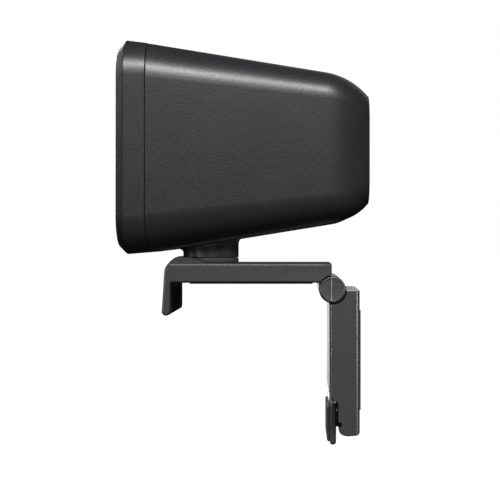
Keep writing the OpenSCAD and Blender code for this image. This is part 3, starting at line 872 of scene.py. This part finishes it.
def clip_arm():
    """Arm, saddle and lip in slices from side to side, with the hinge knuckles."""
    half = ARM_HALF
    shoulder = half - ARM_EDGE - 0.05
    rings = []
    for d, back in reversed(edge_steps(ARM_EDGE)):
        rings.append([(back - half, y, z) for y, z in inset(arm_slice(0.0), d)])
    # An inset of nothing drops the same doubled points, so every ring has the same length.
    steps = 34
    for i in range(1, steps):
        x = -shoulder * math.cos(math.pi * i / steps)
        crown = max(0.0, 1 - (x / shoulder) ** 2)
        rings.append([(x, y, z) for y, z in inset(arm_slice(crown), 0.0)])
    for d, back in edge_steps(ARM_EDGE):
        rings.append([(half - back, y, z) for y, z in inset(arm_slice(0.0), d)])
    obj = loft("clip_arm_body", rings)
    cut(
        obj,
        rod_tool(-20, 20, HINGE_Y, HINGE_Z, SWING_R),
        box("tool", (-seat_high[0] - 0.12, seat_low[1] - 0.12, -1),
            (seat_high[0] + 0.12, seat_high[1] + 0.12, 1.0)),
        box("tool", (lip_low[0] - 0.1, -19.7, lip_low[2] - 0.1),
            (lip_high[0] + 0.1, -18.6, lip_high[2] + 0.1)),
    )
    round_holes = (
        (NECK_R + 0.42, 96, washer_low[2] + 0.01, 12),
        (SCREW_POCKET_R, 72, -1, 3.0),
        (SCREW_HOLE_R, 72, 2.5, 12),
    )
    for r, sides, low, high in round_holes:
        cut(obj, prism("tool", circle(0, PAN_Y, r, sides), along_z, low, high))
    knuckles = []
    block = arc(HINGE_Y, HINGE_Z, BARREL_R, -180, 90, 40)
    block += [(HINGE_Y - 0.16, 1.02), (HINGE_Y - BARREL_R, 1.02)]
    for x0 in (KNUCKLE_IN, -KNUCKLE_IN - 3.8):
        knuckles.append(rounded_prism("tool", block, along_x, x0, x0 + 3.8, 0.2, 3))
    join(obj, *knuckles)
    soften(obj, 0, angle=40)
    return finish_piece(obj, "clip_plastic", "clip", "clip_arm")


def pad(name, low, high, round_by, slot, body, node, hole=None):
    """Flat rubber pad the size of its CAD node; hole is (x, y, radius)."""
    obj = box(name, low, high)
    if hole:
        cut(obj, prism("tool", circle(*hole, 72), along_z, low[2] - 1, high[2] + 1))
    soften(obj, round_by, 3, 40)
    return finish_piece(obj, slot, body, node)


def hinge_cap(side):
    """Bevelled disc with a dished face and a fine line across it."""
    face_x = cap_high[0]
    inner = face_x - 0.98

    def place(u, v, level):
        return (side * level, HINGE_Y + u, HINGE_Z + v)

    r = BARREL_R
    run = [(0.001, inner), (r - 0.12, inner), (r, inner + 0.1), (r, face_x - 0.4)]
    run += [(r - 0.05, face_x - 0.26), (r - 0.26, face_x - 0.04), (r - 0.36, face_x)]
    run += [(r - 0.52, face_x), (r - 0.6, face_x - 0.05), (r - 0.72, face_x - 0.06)]
    run += [(0.001, face_x - 0.05)]
    obj = lathe("hinge_cap_disc", run, place, 72, closed=False)
    ridge = [(HINGE_Y - 0.38, face_x - 0.14), (HINGE_Y - 0.28, face_x - 0.002)]
    ridge += [(HINGE_Y - 0.25, face_x - 0.002), (HINGE_Y - 0.03, face_x - 0.14)]

    def across(u, v, level):
        return (side * v, u, level)

    join(obj, prism("tool", ridge, across, HINGE_Z - 2.55, HINGE_Z + 2.55))
    hand = "right" if side > 0 else "left"
    obj.name = "hinge_cap_disc_" + hand
    soften(obj, 0, angle=32)
    return finish_piece(obj, "clip_plastic", "clip", "hinge_cap_" + hand)


def friction_washer():
    z0, z1 = washer_low[2], washer_high[2]
    r = NECK_R
    run = [(3.3, z0 - 0.2), (r - 0.1, z0 - 0.2), (r - 0.1, z0), (r, z0 + 0.12), (r, z1 - 0.12)]
    run += [(r - 0.12, z1), (3.3, z1)]
    obj = lathe("friction_washer_ring", run, lambda u, v, level: (u, PAN_Y + v, level), 96)
    soften(obj, 0, angle=30)
    return finish_piece(obj, "pad_rubber", "clip", "friction_washer")


# ---- leg and foot ----


def leg_outline():
    """Side profile (Y, Z) of the leg, with the notch that holds the foot."""
    top, low = HINGE_Z - 0.2, leg_low[2]
    notch = HINGE_Z - 25.6
    out = [(LEG_FRONT, top), (LEG_REAR, top)]
    out += arc(LEG_REAR - 0.9, low + 1.05, 0.9, 0, -80, 6)
    out += [(LEG_REAR - 3, low)]
    out += arc(LEG_TAIL_Y + 1.75, low + 1.85, 1.75, -100, -180, 8)
    out += arc(LEG_TAIL_Y - 1.9, notch - 2.6, 1.9, 0, 78, 9)
    out += arc(LEG_FRONT + 0.6, notch + 0.45, 0.6, -100, -180, 5)
    return out


def leg_plan():
    """Outline (X, Y) of the leg with its four long edges rounded."""
    half = ARM_HALF
    rear_r, front_r = 1.35, 0.8
    out = arc(half - rear_r, LEG_REAR - rear_r, rear_r, 0, 90, 7)
    out += arc(rear_r - half, LEG_REAR - rear_r, rear_r, 90, 180, 7)
    out += arc(front_r - half, LEG_FRONT + front_r, front_r, 180, 270, 6)
    out += arc(half - front_r, LEG_FRONT + front_r, front_r, -90, 0, 6)
    return out


def leg():
    """Leg with its hinge barrel, the lug that carries the foot, and both pin holes."""
    half = ARM_HALF
    relief_top = FOOT_TOP + 1.4
    barrel_half = KNUCKLE_IN - 0.3
    obj = rounded_prism("leg_body", leg_outline(), along_x, -half, half, LEG_EDGE)
    keep(obj, prism("tool", leg_plan(), along_z, -42, 0))
    cut(
        obj,
        rod_tool(barrel_half, 20, HINGE_Y, HINGE_Z, SWING_R),
        rod_tool(-20, -barrel_half, HINGE_Y, HINGE_Z, SWING_R),
        box("tool", (strip_low[0] - 0.1, strip_low[1], strip_low[2] - 0.1),
            (strip_high[0] + 0.1, LEG_REAR + 1, strip_high[2] + 0.1)),
        box("tool", (-11.3, LEG_FRONT - 1, leg_low[2] - 2), (11.3, 23.35, relief_top)),
    )
    # A narrower relief above the foot's own takes the tab.
    cut(obj, box("tool", (-7.5, LEG_FRONT - 1, FOOT_Z), (7.5, 21.6, relief_top + 2.0)))
    barrel = rounded_prism(
        "tool", circle(HINGE_Y, HINGE_Z, BARREL_R, 72), along_x, -barrel_half, barrel_half, 0.2, 3
    )
    lug_outline = arc(FOOT_Y, FOOT_Z, 1.7, 90, 270, 20)
    lug_outline += [(FOOT_Y + 3, FOOT_Z - 1.7), (FOOT_Y + 3, FOOT_Z + 1.7)]
    lug = rounded_prism("tool", lug_outline, along_x, -2.6, 2.6, 0.15, 3)
    pin_r = (pin_high[2] - pin_low[2]) / 2 + PIN_CLEARANCE
    foot_pin_r = (foot_pin_high[2] - foot_pin_low[2]) / 2 + PIN_CLEARANCE
    for piece in (obj, barrel):
        cut(piece, rod_tool(-half - 1, half + 1, HINGE_Y, HINGE_Z, pin_r))
    for piece in (obj, lug):
        cut(piece, rod_tool(-half - 1, half + 1, FOOT_Y, FOOT_Z, foot_pin_r))
    join(obj, barrel, lug)
    soften(obj, 0, angle=40)
    return finish_piece(obj, "clip_plastic", "leg", "leg")


def foot():
    """Foot plate with the two cheeks that hold its pin."""
    low, front, half = foot_low[2], foot_pad_low[1], foot_high[0]
    out = arc(FOOT_BACK - 0.6, FOOT_TOP - 0.6, 0.6, 0, 90, 5)
    out += [(front + 0.75, FOOT_TOP)]
    out += arc(front + 1.25, low + 0.5, 0.5, 180, 270, 4)
    out += arc(FOOT_BACK - 0.75, low + 0.75, 0.75, 270, 360, 5)
    obj = rounded_prism("foot_plate", out, along_x, -half, half, 0.35)
    cut(obj, box("tool", (-3, 19.25, FOOT_Z - 2.3), (3, 24, FOOT_Z + 2.3)))
    cheek = arc(FOOT_Y, FOOT_Z, 1.8, -90, 90, 20)
    cheek += [(19.8, FOOT_Z + 1.8), (19.8, FOOT_Z - 1.8)]
    cheeks = [rounded_prism("tool", cheek, along_x, x, x + 3, 0.15, 3) for x in (-6, 3)]
    join(obj, *cheeks)
    soften(obj, 0, angle=40)
    return finish_piece(obj, "clip_plastic", "foot", "foot")


def foot_tab():
    """Rounded tab above the foot, which bears on the notch in the leg."""
    front = foot_pad_low[1]
    out = arc(FOOT_BACK - 0.85, FOOT_TOP + 1.45, 0.6, 0, 90, 5)
    out += arc(front + 1.1, FOOT_TOP + 1.35, 0.7, 90, 180, 5)
    out += [(front + 0.5, FOOT_TOP + 0.12), (front + 0.85, FOOT_TOP - 0.1)]
    out += [(FOOT_BACK - 0.25, FOOT_TOP - 0.1)]
    obj = rounded_prism("foot_tab", out, along_x, -6.5, 6.5, 0.25, 3)
    soften(obj, 0, angle=40)
    return finish_piece(obj, "fixing_steel", "foot")


def foot_pad():
    low, high = foot_pad_low, foot_pad_high
    back = high[1]
    out = [(low[1], low[2] + 0.35), (low[1] + 0.3, low[2]), (back, low[2]), (back, high[2])]
    out += arc(low[1] + 0.45, high[2] - 0.45, 0.45, 90, 180, 4)
    obj = prism("foot_rubber_pad", out, along_x, low[0], high[0])
    soften(obj, 0.12, 2, 40)
    return finish_piece(obj, "pad_rubber", "foot", "foot_pad")


rear_housing()
neck()
front_bezel()
front_plate()
lens_ring()
lens_window()
rear_grille()
usb_contacts()
clip_arm()
pad("seat_pad_rubber", seat_low, seat_high, 0.15, "pad_rubber", "clip", "seat_pad", (0, PAN_Y, 6.3))
pad("lip_pad_rubber", lip_low, lip_high, 0.25, "pad_rubber", "clip", "lip_pad")
pad("leg_strip_rubber", strip_low, strip_high, 0.2, "pad_rubber", "leg", "leg_strip")
hinge_cap(1)
hinge_cap(-1)
friction_washer()
leg()
foot()
foot_tab()
foot_pad()

# CAD nodes that stay as they are get softened edges and their slot's material.
slot_of = {s["node"]: s["material_slot"] for s in frame["record"]["subparts"]}
for node_name, obj in frame["nodes"].items():
    obj.data.materials.clear()
    obj.data.materials.append(looks[slot_of[node_name]])
    if obj.hide_render:
        continue
    edge = obj.modifiers.new("edge", "BEVEL")
    edge.width = 0.08 * MM
    edge.segments = 2
    edge.limit_method = "ANGLE"
    edge.angle_limit = math.radians(45)


# ---- studio ----


def white_sweep(name):
    """Evenly lit white paper."""
    mat, _, shader = nodes_for(name)
    shader.inputs["Base Color"].default_value = (0.82, 0.82, 0.82, 1.0)
    shader.inputs["Roughness"].default_value = 0.9
    shader.inputs["Emission Color"].default_value = (1.0, 1.0, 1.0, 1.0)
    shader.inputs["Emission Strength"].default_value = 1.0
    return mat


FLOOR_Z = -150.0
floor = box("floor", (-4000, -4000, FLOOR_Z - 5), (4000, 4000, FLOOR_Z))
floor.data.materials.append(white_sweep("pale_floor"))
floor.visible_glossy = False
floor.visible_diffuse = False
floor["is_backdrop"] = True

# The camera sees a white room, surfaces are lit by ROOM_LIGHT of it, and reflections see
# MIRRORED_ROOM of that again, so that the dark plastic does not turn milky.
ROOM_LIGHT = 0.12
MIRRORED_ROOM = 0.1
world = bpy.data.worlds.new("studio")
bpy.context.scene.world = world
world.use_nodes = True
tree = world.node_tree
background = tree.nodes["Background"]
background.inputs["Color"].default_value = (1.0, 1.0, 1.0, 1.0)
path = tree.nodes.new("ShaderNodeLightPath")
strength = tree.nodes.new("ShaderNodeMapRange")
strength.inputs["To Min"].default_value = ROOM_LIGHT
strength.inputs["To Max"].default_value = 1.0
tree.links.new(path.outputs["Is Camera Ray"], strength.inputs["Value"])
mirrored = calc(tree, "MULTIPLY", path.outputs["Is Glossy Ray"], 1 - MIRRORED_ROOM)
unmirrored = calc(tree, "MULTIPLY", strength.outputs["Result"], mirrored)
seen = calc(tree, "SUBTRACT", strength.outputs["Result"], unmirrored)
tree.links.new(seen, background.inputs["Strength"])

AIM = Vector((0.0, 0.0, 25.0)) * MM
LIGHT_AWAY = 900


def group(name, wanted):
    """Collection of the pieces for which wanted(body, name) is true."""
    found = bpy.data.collections.new(name)
    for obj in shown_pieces():
        if wanted(body_of(obj)[0], obj.name):
            found.objects.link(obj)
    return found


def softbox(name, azimuth, elevation, width, height, radiance, lit=None, shading=None):
    """Rectangular light seen from the object at these angles; azimuth 0 is +X and 90 is +Y.

    lit limits it to a group of pieces, and shading limits what casts its shadows.
    """
    data = bpy.data.lights.new(name, "AREA")
    data.shape = "RECTANGLE"
    data.size, data.size_y = width * MM, height * MM
    data.energy = radiance * math.pi * data.size * data.size_y
    lamp = link(bpy.data.objects.new(name, data))
    a, e = math.radians(azimuth), math.radians(elevation)
    out = Vector((math.cos(e) * math.cos(a), math.cos(e) * math.sin(a), math.sin(e)))
    lamp.location = AIM + out * LIGHT_AWAY * MM
    lamp.rotation_euler = (-out).to_track_quat("-Z", "Y").to_euler()
    lamp.visible_camera = False
    if lit:
        lamp.light_linking.receiver_collection = lit
    if shading:
        lamp.light_linking.blocker_collection = shading
    return lamp


# Head, clip and leg have lights of their own, which keeps each one's highlights apart.
head_group = group("head_pieces", lambda body, name: body == "head" and name != "neck")
clip_group = group("clip_pieces", lambda body, name: body != "head" or name == "neck")
leg_group = group("leg_pieces", lambda body, name: body in ("leg", "foot") or "hinge_cap" in name)
softbox("key", 12, 41, 560, 170, 34.0, head_group)
softbox("fill", 14, 22, 700, 330, 2.0, head_group)
softbox("front", -98, 20, 500, 400, 1.4)
softbox("back", 160, 30, 500, 400, 0.4)
softbox("far side", 212, 14, 600, 300, 9.0, head_group)
softbox("far clip", 212, 14, 600, 300, 5.0, clip_group)
softbox("far leg", 180, -4, 600, 260, 1.5, leg_group)
softbox("clip key", 6, 62, 500, 240, 52.0, clip_group, clip_group)
softbox("clip fill", 4, 6, 500, 400, 1.0, clip_group)
softbox("clip front", -84, 8, 300, 400, 3.0, clip_group)
softbox("clip front edge", -44, 2, 120, 260, 20.0, clip_group)
softbox("clip back edge", 78, 24, 220, 260, 6.0, clip_group, clip_group)
softbox("leg back edge", 62, -2, 260, 260, 13.0, leg_group)


# ---- camera ----

# Level and square to the side. The frame is slid so that the camera's axis sits off centre.
EYE = Vector((300.0, 11.71, 10.5)) * MM

camera_data = bpy.data.cameras.new("camera")
camera_data.sensor_width = 36.0
camera_data.lens = 86.112
camera_data.shift_x = -0.1
camera_data.shift_y = -0.02
camera_data.clip_start = 0.01
camera_data.clip_end = 20.0
camera = link(bpy.data.objects.new("camera", camera_data))
camera.location = EYE
camera.rotation_euler = (math.pi / 2, 0.0, math.pi / 2)
bpy.context.scene.camera = camera
bpy.context.scene.view_settings.view_transform = "Standard"
